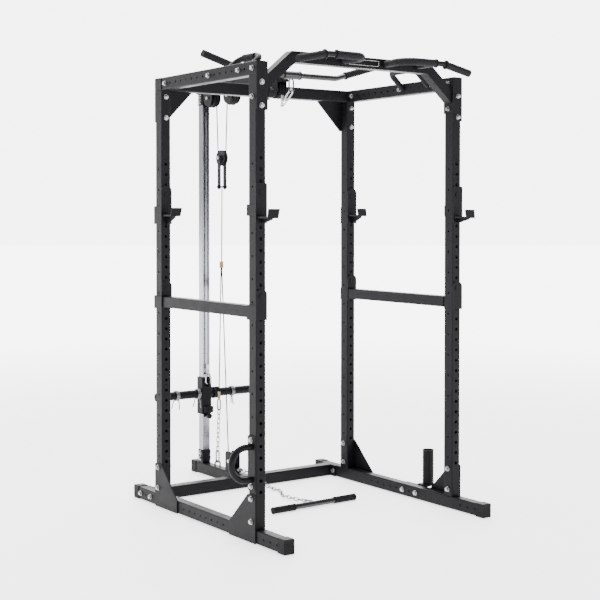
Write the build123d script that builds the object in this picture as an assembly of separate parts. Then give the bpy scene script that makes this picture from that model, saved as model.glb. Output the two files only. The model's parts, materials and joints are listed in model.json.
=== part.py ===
from build123d import *
import math
import os

# Power cage with a plate-loaded pulley tower. Millimetres, +Z up.
# Everything is drawn about the centre of the four posts, with the floor at z = 0, and is moved
# at the end so that the origin lies under the middle of the whole cage. X is left to right,
# Y is front to back, and the tower stands behind the cage.

# ---- driving dimensions: frame ----
POST_X = 570.0            # post centre from the middle plane
POST_Y = 412.5            # post centre in front of and behind the middle
POST_TOP = 2033.0
TUBE_W = 50.0             # frame tube, short side
TUBE_H = 60.0             # frame tube, long side
TUBE_WALL = 2.5
TUBE_CORNER = 5.0
PLATE = 6.0               # bracket plate thickness
FLOOR_GAP = 3.0           # the end caps lift the rails by this much
RAIL_FRONT = -650.0       # ends of a base rail
RAIL_REAR = 663.0
HOLE_PITCH = 50.0
POST_HOLE_R = 8.0         # large holes that take the hook and safety pins
FIRST_HOLE_Z = 225.0
HOLE_COUNT = 30
SMALL_HOLE_R = 5.0
FIRST_SIDE_HOLE_Z = 250.0
SIDE_HOLE_COUNT = 15

RAIL_TOP = FLOOR_GAP + TUBE_H
RAIL_MID = FLOOR_GAP + TUBE_H / 2
BEAM_TOP = POST_TOP + TUBE_H
BEAM_MID = POST_TOP + TUBE_H / 2
POST_OUT = POST_X + TUBE_W / 2
POST_IN = POST_X - TUBE_W / 2
POST_FRONT = POST_Y + TUBE_H / 2
POST_BACK = POST_Y - TUBE_H / 2
SIDES = (("left", -1), ("right", 1))

# ---- driving dimensions: bolts ----
BOLT_R = 6.0
BOLT_HOLE_R = 6.5
HEAD_R = 10.0
HEAD_H = 8.0
WASHER_R = 12.5
WASHER_H = 2.0
NUT_R = 10.5
NUT_H = 9.0
BOLT_END = 3.0            # thread that shows past the nut

# ---- driving dimensions: base ----
GUSSET_W = 212.0
GUSSET_TOP = 212.0
GUSSET_BOLT_Z = (95.0, 195.0)
CROSS_Y = 550.0           # rear floor cross-member
TOWER_BASE_END = 1055.0
CAP_LENGTH = 41.0
CAP_WALL = 3.0
CAP_GROOVE = 3.0          # width of a groove round an end cap, and of the rib above it
CAP_GROOVE_DEPTH = 0.8

# ---- driving dimensions: top ----
FRONT_BOLT_Z = (1900.0, 2001.0)
SIDE_BOLT_Z = 1940.0
BEAM_BOLT_Y = (-POST_Y, -300.0, -50.0, 350.0)
BRACKET_BOTTOM = 1881.0
ARCH_TUBE = 50.0
ARCH_TOP = 2148.0
ARCH_ANGLE = 40.0
ARCH_FOOT_LOW = 1967.0
GRIP_TUBE_R = 12.5
GRIP_RUBBER_R = 17.0
GRIP_Z = 2123.0
GRIP_FRONT_Y = -606.0
LOOP_X = 450.0
LOOP_Z = 2142.0
LOOP_Y = (-79.0, -271.0)
LOOP_TUBE_R = 14.0
LOOP_FLANGE_Y = (-330.0, -20.0)

# ---- driving dimensions: accessories ----
HANDLE_BOLT_Z = (FIRST_SIDE_HOLE_Z, FIRST_SIDE_HOLE_Z + 4 * HOLE_PITCH)
HANDLE_R = 14.0
HANDLE_REACH = 101.5
HOLDER_BOLT_Y = (-75.0, -175.0)
HOLDER_X = 633.0
HOLDER_Y = -171.0
HOLDER_R = 27.5
HOLDER_BORE_R = 25.6      # takes the 50 mm sleeve of a barbell
HOLDER_TOP = 243.0

# ---- driving dimensions: tower ----
TOWER_Y = 965.0
GUIDE = 45.0
SOCKET = 50.0
SOCKET_LOW_TOP = 136.0
SOCKET_HIGH_BOTTOM = 2030.0
SOCKET_BOLT_Z = (88.0, 120.0, 2048.0, 2076.0)
STOP_PIN_Z = 326.0
STOP_PIN_R = 6.0
BOOM = 50.0
BOOM_FRONT_Y = 198.0
BOOM_BACK_Y = 1005.0
BOOM_WALL = 3.0
BOOM_BOTTOM = BEAM_TOP
BOOM_TOP = BOOM_BOTTOM + BOOM
SADDLE_BOLT_X = 48.0

# ---- driving dimensions: wheels and cables ----
WHEEL_PITCH_R = 45.0      # radius at which the cable runs on a top wheel
WHEEL_R = 50.0
WHEEL_W = 24.0
WHEEL_Z = 2062.0
REAR_WHEEL_Y = 880.0
MIDDLE_WHEEL_Y = 680.0
FRONT_WHEEL_Y = 258.0
TOP_WHEELS_Y = (REAR_WHEEL_Y, MIDDLE_WHEEL_Y, FRONT_WHEEL_Y)
SMALL_PITCH_R = 37.5
SMALL_WHEEL_R = 42.5
BLOCK_Y = 780.0
BLOCK_Z = 1735.0
BLOCK_FOOT_Z = 1580.0
BLOCK_HALF = 16.0         # strap faces of the floating block from the middle plane
STRAP = 4.0
STRAP_HALF_WIDTH = 14.0
LOW_WHEEL_Y = 678.0
LOW_WHEEL_Z = 118.0
LOW_CHEEK_HALF = 17.0     # cheek faces of the low wheel from the middle plane
CHEEK = 4.0               # cheek plate thickness
CHEEK_R = 42.0
AXLE_R = 6.0
AXLE_GAP = 0.05
CABLE_R = 3.0
LIFT_CABLE_Y = REAR_WHEEL_Y + WHEEL_PITCH_R
LAT_EXIT_Z = WHEEL_Z
LAT_FERRULE_Y = FRONT_WHEEL_Y - WHEEL_PITCH_R
LAT_FERRULE_TOP = 2027.0
LOW_CABLE_Z = LOW_WHEEL_Z - SMALL_PITCH_R
ROW_FERRULE_Y = 631.0
SPLIT_Y = 784.0           # where the two lower cables part below the block
SPLIT_Z = 1164.0
SPLIT_BEND = 60.0
TETHER_HOOK_Y = 812.0
TETHER_HOOK_Z = 440.0
EYE_Y = 827.0             # half ring on the tower base
EYE_TOP = RAIL_TOP + 30

# ---- driving dimensions: chains and snap hooks ----
CONTACT = 0.3             # play between two linked rings
LINK_WIRE = 2.0
LINK_LENGTH = 36.0
LINK_WIDTH = 19.0
LINK_PITCH = LINK_LENGTH - 4 * LINK_WIRE - 0.4
HOOK_WIRE = 4.0

# ---- driving dimensions: carriage ----
CARRIAGE = 60.0
CARRIAGE_WALL = 3.5
CARRIAGE_BOTTOM = 335.0
CARRIAGE_TOP = 537.0
CARRIAGE_FERRULE_Z = 590.0
LUG_HOLE_Z = 500.0
PEG_Z = 445.0
PEG_R = 22.5
PEG_END = 300.0
BUMPERS_X = ((50.0, 67.0), (75.0, 93.0))
INNER_COLLAR_X = 33.0
OUTER_COLLAR_X = 168.0
COLLAR_WIRE = 3.0

# ---- driving dimensions: lat bar and row bar ----
LAT_Y = 130.0
LAT_Z = 2119.0
LAT_BAR_R = 14.0
LAT_BEND_X = 272.0
LAT_END = (512.0, 70.0)   # reach and rise of an end of the bar
ROW_X = 30.0
ROW_Y = -20.0
ROW_BAR_R = 14.0
ROW_GRIP_R = 17.0
ROW_HALF = 250.0
ROW_LEAN = 1.8            # degrees off the X direction
ROW_CHAIN_START = 582.0
ROW_CHAIN_POINTS = [(0, ROW_CHAIN_START, LOW_CABLE_Z), (2, 508, 84), (70, 425, 10), (72, 330, 10),
    (20, 240, 10), (26, 150, 10), (47.0, 65.0, 11)]
ROW_HOOK_MIDDLE = (37.4, 42.1, 14.5)
ROW_HOOK_LINE = (0.3, 0.954, -0.06)

# ---- driving dimensions: hooks and safeties ----
HOOK_PIN_Z = FIRST_HOLE_Z + 26 * HOLE_PITCH
SAFETY_PIN_Z = FIRST_HOLE_Z + 17 * HOLE_PITCH
PIN_R = 7.5
PIN_HEAD_R = 13.0
SIDE_GAP = 1.0            # play between a sleeve and its post
SLEEVE_PLATE = 5.0
HOOK_REACH = 84.0
SAFETY_TUBE_Z = (981.0, 1033.0)
SAFETY_SLEEVE_Z = (973.0, 1036.0)
SAFETY_PLATE_TOP = 1106.0

# The middle of the whole cage, tower and accessories, from the middle of the posts.
MIDDLE_X = -24.25
MIDDLE_Y = 202.5


# ---- helpers ----
def box(x, y, z):
    """A block from three (low, high) pairs."""
    size = [abs(pair[1] - pair[0]) for pair in (x, y, z)]
    middle = [(pair[0] + pair[1]) / 2 for pair in (x, y, z)]
    return Pos(*middle) * Box(*size)


def rounded_box(x, y, z, axis, radius):
    """A block whose edges along one axis are rounded."""
    block = box(x, y, z)
    return fillet(block.edges().filter_by(axis), radius)


def square_tube(x, y, z, axis, wall=TUBE_WALL, corner=TUBE_CORNER):
    """A hollow rectangular tube that runs along one axis and is open at both ends."""
    outer = rounded_box(x, y, z, axis, corner)
    pairs = []
    for pair, direction in zip((x, y, z), (Axis.X, Axis.Y, Axis.Z)):
        inset = -1.0 if direction == axis else wall
        pairs.append((min(pair) + inset, max(pair) - inset))
    return outer - rounded_box(*pairs, axis, corner - wall)


def rod(start, end, radius):
    """A round bar between two points."""
    start = Vector(*start)
    end = Vector(*end)
    plane = Plane(origin=start, z_dir=end - start)
    return extrude(plane * Circle(radius), amount=(end - start).length)


def ring_along(start, end, radius, inner):
    """A round sleeve between two points."""
    start = Vector(*start)
    end = Vector(*end)
    plane = Plane(origin=start, z_dir=end - start)
    return extrude(plane * (Circle(radius) - Circle(inner)), amount=(end - start).length)


def plate_yz(points, x, thickness):
    """A flat plate whose outline lies in a plane of constant X and grows towards +X."""
    outline = make_face(Polyline(*points, close=True))
    return extrude(Plane(origin=(x, 0, 0), x_dir=(0, 1, 0), z_dir=(1, 0, 0)) * outline, amount=thickness)


def plate_xz(points, y, thickness):
    """A flat plate whose outline lies in a plane of constant Y and grows towards +Y."""
    outline = make_face(Polyline(*points, close=True))
    face = Plane(origin=(0, y + thickness, 0), x_dir=(1, 0, 0), z_dir=(0, -1, 0)) * outline
    return extrude(face, amount=thickness)


def bent_rod(points, radii, radius, bore=0.0):
    """A round bar or tube along straight runs that are joined by tangent arcs."""
    path = FilletPolyline(*points, radius=radii)
    start = Plane(origin=path @ 0, z_dir=path % 0)
    solid = sweep(start * Circle(radius), path=path)
    if bore:
        solid -= sweep(start * Circle(bore), path=path)
    return solid


def as_group(solids):
    """Separate solids that share one node."""
    flat = []
    for item in solids:
        flat.extend(item.solids())
    return Compound(children=flat)


def mirrored(shape, side):
    """The left or right twin of a shape that is drawn on the right."""
    return shape if side > 0 else mirror(shape, about=Plane.YZ)


# ---- bolts ----
def bolt_set(start, end):
    """One hexagon bolt from start to end through a grip, with two washers and a nut."""
    start = Vector(*start)
    end = Vector(*end)
    plane = Plane(origin=start, z_dir=end - start)
    grip = (end - start).length
    head = extrude(plane.offset(-WASHER_H) * RegularPolygon(HEAD_R, 6), amount=-HEAD_H)
    dome = plane.offset(-WASHER_H - HEAD_H) * Rot(180, 0, 0) * Cone(HEAD_R * 0.8, HEAD_R * 0.45, 2.5,
        align=(Align.CENTER, Align.CENTER, Align.MIN))
    shank = extrude(plane.offset(-WASHER_H) * Circle(BOLT_R), amount=grip + 2 * WASHER_H + NUT_H + BOLT_END)
    washers = []
    for offset in (-WASHER_H, grip):
        disc = Circle(WASHER_R) - Circle(BOLT_HOLE_R)
        washers.append(extrude(plane.offset(offset) * disc, amount=WASHER_H))
    nut_outline = RegularPolygon(NUT_R, 6) - Circle(BOLT_R)
    nut = extrude(plane.offset(grip + WASHER_H) * nut_outline, amount=NUT_H)
    return head + dome + shank, washers, nut


def frame_bolt_lines():
    """Every bolt of the frame as its two grip ends, head end first."""
    lines = []
    for name, side in SIDES:
        outer = side * (POST_OUT + PLATE)
        for y_side in (-1, 1):
            for z in GUSSET_BOLT_Z:
                lines.append(((outer, y_side * POST_Y, z), (side * POST_IN, y_side * POST_Y, z)))
        inner = side * (POST_IN - PLATE)
        for y in BEAM_BOLT_Y[:3]:
            lines.append(((side * POST_OUT, y, BEAM_MID), (inner, y, BEAM_MID)))
        lines.append(((side * POST_OUT, BEAM_BOLT_Y[3], BEAM_MID), (side * POST_IN, BEAM_BOLT_Y[3], BEAM_MID)))
        lines.append(((side * POST_OUT, -POST_Y, SIDE_BOLT_Z), (inner, -POST_Y, SIDE_BOLT_Z)))
        for z in FRONT_BOLT_Z:
            lines.append(((side * POST_X, -POST_FRONT - PLATE, z), (side * POST_X, -POST_BACK, z)))
            lines.append(((side * POST_X, POST_BACK, z), (side * POST_X, POST_FRONT + PLATE, z)))
        for y in (CROSS_Y - HOLE_PITCH, CROSS_Y + HOLE_PITCH):
            lines.append(((side * POST_OUT, y, RAIL_MID), (side * (POST_IN - PLATE), y, RAIL_MID)))
    for z in HANDLE_BOLT_Z:
        lines.append(((-POST_OUT - PLATE, -POST_Y, z), (-POST_IN, -POST_Y, z)))
    for y in HOLDER_BOLT_Y:
        lines.append(((POST_IN, y, RAIL_MID), (POST_OUT + PLATE, y, RAIL_MID)))
    for x in (-SADDLE_BOLT_X, SADDLE_BOLT_X):
        lines.append(((x, POST_Y, BEAM_TOP + PLATE), (x, POST_Y, POST_TOP)))
    for z in SOCKET_BOLT_Z:
        lines.append(((-SOCKET / 2, TOWER_Y, z), (SOCKET / 2, TOWER_Y, z)))
    return lines


def drill(shape):
    """Clearance holes wherever a frame bolt passes near the shape."""
    bounds = shape.bounding_box()
    cuts = []
    for start, end in frame_bolt_lines():
        middle = (Vector(*start) + Vector(*end)) * 0.5
        reach = (Vector(*end) - Vector(*start)).length / 2 + BOLT_HOLE_R
        inside = True
        for low, high, value in zip(bounds.min, bounds.max, middle):
            inside = inside and low - reach < value < high + reach
        if inside:
            overrun = (Vector(*end) - Vector(*start)).normalized() * 20
            cuts.append(rod(Vector(*start) - overrun, Vector(*end) + overrun, BOLT_HOLE_R))
    for cut in cuts:
        shape = shape - cut
    return shape


# ---- base ----
def base_rail(side):
    rail = square_tube((side * POST_IN, side * POST_OUT), (RAIL_FRONT, RAIL_REAR), (FLOOR_GAP, RAIL_TOP), Axis.Y)
    middle_holes = [-175.0 + HOLE_PITCH * step for step in range(8)]
    end_holes = [500.0, 550.0, 600.0]
    hole_line = middle_holes + end_holes + [-y for y in end_holes]
    cutters = [rod((side * (POST_IN - 5), y, RAIL_MID), (side * (POST_OUT + 5), y, RAIL_MID), SMALL_HOLE_R)
        for y in hole_line]
    return drill(rail - cutters)


def base_gussets(side):
    """The two corner plates on the outside of one rail and its posts."""
    plates = []
    for y_side in (-1, 1):
        edge = y_side * POST_FRONT
        inward = -y_side
        outline = [(edge, FLOOR_GAP), (edge, GUSSET_TOP), (edge + inward * TUBE_H, GUSSET_TOP),
            (edge + inward * GUSSET_W, RAIL_TOP), (edge + inward * GUSSET_W, FLOOR_GAP)]
        x = POST_OUT if side > 0 else -POST_OUT - PLATE
        plates.append(drill(plate_yz(outline, x, PLATE)))
    return as_group(plates)


def end_cap(x, y_end, direction):
    """A plastic cap over the end of a floor tube, grooved level all round; direction is +1 for a rear end."""
    half = TUBE_W / 2 + CAP_WALL
    inner_end = y_end - direction * CAP_LENGTH
    outer_end = y_end + direction * (CAP_WALL + 2)
    top = RAIL_TOP + CAP_WALL
    cap = rounded_box((x - half, x + half), (inner_end, outer_end), (0, top), Axis.Y, 6)
    cap -= box((x - TUBE_W / 2, x + TUBE_W / 2), (inner_end - direction, y_end), (FLOOR_GAP, RAIL_TOP))
    inset = half - CAP_GROOVE_DEPTH
    lip = inner_end + direction * 6
    groove_z = 2 * CAP_GROOVE + 3
    while groove_z < top - 3 * CAP_GROOVE:
        heights = (groove_z, groove_z + CAP_GROOVE)
        band = box((x - half - 1, x + half + 1), (lip, outer_end + direction), heights)
        core = box((x - inset, x + inset), (lip - direction, outer_end - direction * CAP_GROOVE_DEPTH), heights)
        cap -= band - core
        groove_z += 2 * CAP_GROOVE
    return cap


def base_end_caps():
    caps = []
    for name, side in SIDES:
        caps.append(end_cap(side * POST_X, RAIL_FRONT, -1))
        caps.append(end_cap(side * POST_X, RAIL_REAR, 1))
    caps.append(end_cap(0, TOWER_BASE_END, 1))
    return as_group(caps)


def rear_floor_crossmember():
    """Tube between the rails, with a bolted flange plate at each end."""
    inner = POST_IN - PLATE
    half = TUBE_H / 2
    flange_half = HOLE_PITCH + 18
    tube = square_tube((-inner, inner), (CROSS_Y - half, CROSS_Y + half), (FLOOR_GAP, RAIL_TOP), Axis.X)
    for name, side in SIDES:
        tube += box((side * inner, side * POST_IN), (CROSS_Y - flange_half, CROSS_Y + flange_half),
            (FLOOR_GAP, RAIL_TOP))
    return drill(tube)


def tower_base_tube():
    span = (CROSS_Y + TUBE_H / 2, TOWER_BASE_END)
    return square_tube((-TUBE_W / 2, TUBE_W / 2), span, (FLOOR_GAP, RAIL_TOP), Axis.Y)


def socket(z_low, z_high):
    """Square socket that holds one end of the guide tube."""
    half = SOCKET / 2
    return drill(square_tube((-half, half), (TOWER_Y - half, TOWER_Y + half), (z_low, z_high), Axis.Z,
        wall=(SOCKET - GUIDE) / 2 - 0.2, corner=4))


# ---- posts ----
def post(side, y_side):
    x = side * POST_X
    y = y_side * POST_Y
    tube = square_tube((x - TUBE_W / 2, x + TUBE_W / 2), (y - TUBE_H / 2, y + TUBE_H / 2), (RAIL_TOP, POST_TOP),
        Axis.Z)
    cutters = []
    for step in range(HOLE_COUNT):
        z = FIRST_HOLE_Z + step * HOLE_PITCH
        cutters.append(rod((x, y - TUBE_H, z), (x, y + TUBE_H, z), POST_HOLE_R))
    for step in range(SIDE_HOLE_COUNT):
        z = FIRST_SIDE_HOLE_Z + step * 2 * HOLE_PITCH
        cutters.append(rod((x - TUBE_W, y, z), (x + TUBE_W, y, z), SMALL_HOLE_R))
    return drill(tube - cutters)


# ---- top frame ----
def top_beam(side):
    beam = square_tube((side * POST_IN, side * POST_OUT), (-POST_FRONT, POST_BACK), (POST_TOP, BEAM_TOP), Axis.Y)
    cutters = []
    for step in range(-7, 7):
        y = step * HOLE_PITCH
        if y not in BEAM_BOLT_Y:
            start = (side * (POST_IN - 5), y, BEAM_MID)
            cutters.append(rod(start, (side * (POST_OUT + 5), y, BEAM_MID), SMALL_HOLE_R))
    return drill(beam - cutters)


def rear_top_crossbeam():
    """Cross tube on the rear posts, with a shaped plate behind each post and a lug in each side beam."""
    beam = square_tube((-POST_OUT, POST_OUT), (POST_BACK, POST_FRONT), (POST_TOP, BEAM_TOP), Axis.X)
    plate_in = POST_IN - 5
    outline = [(POST_OUT, BEAM_TOP), (POST_OUT, BRACKET_BOTTOM), (plate_in, BRACKET_BOTTOM),
        (plate_in - 150, POST_TOP), (plate_in - 150, BEAM_TOP)]
    lug = box((POST_IN + TUBE_WALL, POST_IN + TUBE_WALL + PLATE), (315, POST_BACK), (POST_TOP + 8, BEAM_TOP - 8))
    for name, side in SIDES:
        beam += mirrored(plate_xz(outline, POST_FRONT, PLATE), side)
        beam += mirrored(lug, side)
    return drill(beam)


def crossbeam_plugs():
    """Plastic plugs in the open ends of the rear cross tube."""
    plug = rounded_box((POST_OUT, POST_OUT + 3), (POST_BACK + 0.5, POST_FRONT - 0.5),
        (POST_TOP + 0.5, BEAM_TOP - 0.5), Axis.X, 4)
    tongue = box((POST_OUT - 15, POST_OUT), (POST_BACK + 4, POST_FRONT - 4), (POST_TOP + 4, BEAM_TOP - 4))
    return as_group([mirrored(plug + tongue, side) for name, side in SIDES])


# ---- pull-up bars ----
def arch_outline(inset, overrun=0.0):
    """Half of the arch seen from the front, from the right foot to the middle, as corner points."""
    slope = math.tan(math.radians(ARCH_ANGLE))
    rise = (ARCH_TUBE / 2 - inset) / math.cos(math.radians(ARCH_ANGLE))
    foot_x = POST_IN - PLATE + overrun
    foot_mid = ARCH_FOOT_LOW + ARCH_TUBE / 2 / math.cos(math.radians(ARCH_ANGLE)) - overrun * slope
    top = ARCH_TOP - inset
    low = ARCH_TOP - ARCH_TUBE + inset
    top_x = foot_x - (top - foot_mid - rise) / slope
    low_x = foot_x - (low - foot_mid + rise) / slope
    return [(foot_x, foot_mid - rise), (foot_x, foot_mid + rise), (top_x, top), (low_x, low)]


def full_arch(inset, overrun):
    foot_low, foot_high, top, low = arch_outline(inset, overrun)
    points = [foot_low, foot_high, top, (-top[0], top[1]), (-foot_high[0], foot_high[1]),
        (-foot_low[0], foot_low[1]), (-low[0], low[1]), low]
    half = ARCH_TUBE / 2 - inset
    return plate_xz(points, -POST_Y - half, 2 * half)


def pullup_arch():
    """Square tube that rises from both front posts to the raised crossbar."""
    return full_arch(0.0, 0.0) - full_arch(TUBE_WALL, 2.0)


def pullup_bracket(side):
    """Folded plate around the front inner corner of a front post, which carries the arch."""
    front = box((POST_IN - PLATE, POST_OUT + 2), (-POST_FRONT - PLATE, -POST_FRONT), (BRACKET_BOTTOM, BEAM_TOP - 2))
    inner = box((POST_IN - PLATE, POST_IN), (-POST_FRONT, -POST_BACK), (1918.0, BEAM_TOP - 2))
    return drill(mirrored(front + inner, side))


def grip_path(side):
    """Centre line of a front grip tube: out of the crossbar, round, along and down at the free end."""
    points = [(125, -POST_Y - ARCH_TUBE / 2, GRIP_Z), (100, GRIP_FRONT_Y, GRIP_Z), (335, GRIP_FRONT_Y, GRIP_Z),
        (490, GRIP_FRONT_Y, 2090)]
    return [(side * x, y, z) for x, y, z in points]


def pullup_grip_tube(side):
    """Round grip tube in front of the crossbar, with the short standoff that holds its outer half."""
    tube = bent_rod(grip_path(side), [72, 60], GRIP_TUBE_R)
    tube -= box((-300, 300), (-POST_Y - ARCH_TUBE / 2, -POST_Y), (ARCH_TOP - ARCH_TUBE, ARCH_TOP))
    standoff = rod((side * 312, -POST_Y - ARCH_TUBE / 2, GRIP_Z), (side * 312, GRIP_FRONT_Y, GRIP_Z), 10)
    return tube + standoff


def front_rubber(side):
    """Two rubber sleeves with raised end rings on one front grip tube."""
    path = grip_path(side)
    unit = (Vector(*path[1]) - Vector(*path[0])).normalized()
    start = Vector(*path[0]) + unit * 14
    long_end = Vector(side * 284, GRIP_FRONT_Y, GRIP_Z)
    sleeves = [bent_rod([tuple(start), path[1], tuple(long_end)], [72], GRIP_RUBBER_R, bore=GRIP_TUBE_R)]
    sleeves.append(ring_along((side * 284, GRIP_FRONT_Y, GRIP_Z), (side * 289, GRIP_FRONT_Y, GRIP_Z),
        GRIP_RUBBER_R + 3, GRIP_TUBE_R))
    slope = (Vector(*path[3]) - Vector(*path[2])).normalized()
    outer_start = Vector(*path[2]) + slope * 10
    outer_end = Vector(*path[3])
    sleeves.append(ring_along(tuple(outer_start + slope * 5), tuple(outer_end), GRIP_RUBBER_R, GRIP_TUBE_R))
    sleeves.append(ring_along(tuple(outer_start), tuple(outer_start + slope * 5), GRIP_RUBBER_R + 4, GRIP_TUBE_R))
    sleeves.append(ring_along(tuple(outer_end), tuple(outer_end + slope * 3), GRIP_RUBBER_R, 0.001))
    return sleeves


def side_loop(side):
    """Neutral-grip loop that stands on the inside of a top beam, on its bolted flange plate."""
    x = side * (POST_IN - PLATE)
    points = [(x, LOOP_Y[0], BEAM_MID), (side * LOOP_X, LOOP_Y[0], LOOP_Z), (side * LOOP_X, LOOP_Y[1], LOOP_Z),
        (x, LOOP_Y[1], BEAM_MID)]
    tube = bent_rod(points, [40, 40], LOOP_TUBE_R)
    tube -= box((x, side * POST_OUT), LOOP_FLANGE_Y, (POST_TOP, BEAM_TOP))
    flange = box((x, side * POST_IN), LOOP_FLANGE_Y, (POST_TOP + 3, BEAM_TOP - 3))
    return drill(tube + flange)


def loop_rubber(side):
    start = (side * LOOP_X, LOOP_Y[0] - 48, LOOP_Z)
    end = (side * LOOP_X, LOOP_Y[1] + 48, LOOP_Z)
    return ring_along(start, end, GRIP_RUBBER_R + 1, LOOP_TUBE_R)


def pullup_rubber_grips():
    sleeves = []
    for name, side in SIDES:
        sleeves.extend(front_rubber(side))
        sleeves.append(loop_rubber(side))
    return as_group(sleeves)


def name_plate():
    """Plain plate on the face of the crossbar."""
    front = -POST_Y - ARCH_TUBE / 2
    return rounded_box((-90, 90), (front - 1.5, front), (2107, 2139), Axis.Y, 4)


# ---- accessories on the frame ----
def d_handle():
    """Bent round handle on a plate, bolted to the outside of the front left post."""
    face = -POST_OUT - PLATE
    plate = box((face, -POST_OUT), (-POST_Y - 27.5, -POST_Y + 27.5), (231, 469))
    top, bottom = 421.5, 278.5
    reach = face - HANDLE_REACH
    points = [(face, -POST_Y, top), (reach, -POST_Y, top), (reach, -POST_Y, bottom), (face, -POST_Y, bottom)]
    loop = bent_rod(points, [71, 71], HANDLE_R)
    return drill(plate + loop)


def bar_holder():
    """Upright sleeve that stores a barbell, on an angle plate outside the right rail."""
    angle = box((POST_OUT, POST_OUT + PLATE), (-206, -50), (FLOOR_GAP + 2, RAIL_TOP))
    shelf = box((POST_OUT, HOLDER_X + 35), (-206, -136), (RAIL_TOP, RAIL_TOP + PLATE))
    sleeve = ring_along((HOLDER_X, HOLDER_Y, RAIL_TOP + PLATE), (HOLDER_X, HOLDER_Y, HOLDER_TOP), HOLDER_R,
        HOLDER_BORE_R)
    return drill(angle + shelf + sleeve)


# ---- tower ----
def guide_tube():
    half = GUIDE / 2
    tube = square_tube((-half, half), (TOWER_Y - half, TOWER_Y + half), (RAIL_TOP, BOOM_BOTTOM), Axis.Z,
        wall=2.0, corner=4)
    tube -= rod((0, TOWER_Y - 40, STOP_PIN_Z), (0, TOWER_Y + 40, STOP_PIN_Z), STOP_PIN_R + 0.05)
    return drill(tube)


def top_boom():
    """Slotted square tube over the rear crossbeam; the wheels and the cable run inside it."""
    half = BOOM / 2
    tube = square_tube((-half, half), (BOOM_FRONT_Y, BOOM_BACK_Y), (BOOM_BOTTOM, BOOM_TOP), Axis.Y,
        wall=BOOM_WALL, corner=4)
    for y in TOP_WHEELS_Y:
        tube -= box((-15, 15), (y - 54, y + 54), (BOOM_BOTTOM - 1, BOOM_BOTTOM + BOOM_WALL + 2))
    saddle = box((-70, -half), (POST_BACK + 5, POST_FRONT - 5), (BEAM_TOP, BEAM_TOP + PLATE))
    tube += saddle
    tube += mirrored(saddle, -1)
    return drill(tube)


def boom_plugs():
    """Plastic plugs in both ends of the boom."""
    plugs = []
    half = BOOM / 2
    for y, direction in ((BOOM_FRONT_Y, -1), (BOOM_BACK_Y, 1)):
        plug = rounded_box((-half + 0.5, half - 0.5), (y, y + direction * 3), (BOOM_BOTTOM + 0.5, BOOM_TOP - 0.5),
            Axis.Y, 4)
        plug += box((-half + 4, half - 4), (y - direction * 2, y), (BOOM_BOTTOM + 4, BOOM_TOP - 4))
        plugs.append(plug)
    return as_group(plugs)


def wheel_bracket(y):
    """Two round-ended cheek plates that hang from the sides of the boom around one wheel."""
    cheeks = []
    for side in (-1, 1):
        x = BOOM / 2 if side > 0 else -BOOM / 2 - CHEEK
        cheek = box((x, x + CHEEK), (y - CHEEK_R, y + CHEEK_R), (WHEEL_Z, BOOM_TOP - 10))
        cheek += rod((x, y, WHEEL_Z), (x + CHEEK, y, WHEEL_Z), CHEEK_R)
        cheek -= rod((x - 5, y, WHEEL_Z), (x + CHEEK + 5, y, WHEEL_Z), AXLE_R + AXLE_GAP)
        cheeks.append(cheek)
    return as_group(cheeks)


def low_pulley_bracket():
    """Two cheek plates on the tower base tube around the low wheel."""
    cheeks = []
    for side in (-1, 1):
        x = LOW_CHEEK_HALF if side > 0 else -LOW_CHEEK_HALF - CHEEK
        cheek = rounded_box((x, x + CHEEK), (LOW_WHEEL_Y - 42, LOW_WHEEL_Y + 38), (RAIL_TOP - 20, 168),
            Axis.X, 18)
        cheek = cheek & box((x, x + CHEEK), (LOW_WHEEL_Y - 60, LOW_WHEEL_Y + 60), (RAIL_TOP, 200))
        cheek -= rod((x - 5, LOW_WHEEL_Y, LOW_WHEEL_Z), (x + 10, LOW_WHEEL_Y, LOW_WHEEL_Z), AXLE_R + AXLE_GAP)
        cheeks.append(cheek)
    return as_group(cheeks)


def wheel(y, z, radius, pitch):
    """Grooved cable wheel on the middle plane, with a running bore for its axle bolt."""
    half = WHEEL_W / 2
    floor_r = pitch - CABLE_R
    profile = [(AXLE_R + AXLE_GAP, -half), (14, -half), (16, -half + 3), (radius - 14, -half + 3),
        (radius - 10, -half + 1), (radius, -half + 1), (radius, -half + 3), (floor_r, -CABLE_R - 0.4),
        (floor_r, CABLE_R + 0.4), (radius, half - 3), (radius, half - 1), (radius - 10, half - 1),
        (radius - 14, half - 3), (16, half - 3), (14, half), (AXLE_R + AXLE_GAP, half)]
    outline = make_face(Polyline(*[(r, x) for r, x in profile], close=True))
    disc = revolve(outline, axis=Axis.Y)
    return Pos(0, y, z) * Rot(0, 0, 90) * disc


def axle(y, z, half_width):
    """Axle bolt of a wheel: hexagon head on the left, nut on the right."""
    head = extrude(Plane(origin=(-half_width, y, z), z_dir=(-1, 0, 0)) * RegularPolygon(HEAD_R, 6), amount=HEAD_H)
    shank = rod((-half_width, y, z), (half_width + NUT_H + BOLT_END, y, z), AXLE_R)
    nut_outline = RegularPolygon(NUT_R, 6) - Circle(AXLE_R)
    nut = extrude(Plane(origin=(half_width, y, z), z_dir=(1, 0, 0)) * nut_outline, amount=NUT_H)
    return [head + shank, nut]


def spacers(y, z, outer):
    """Washers that fill the room between a wheel and its cheek plates."""
    inner = WHEEL_W / 2 + 0.3
    rings = []
    for side in (-1, 1):
        rings.append(ring_along((side * inner, y, z), (side * outer, y, z), 10, AXLE_R))
    return rings


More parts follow.
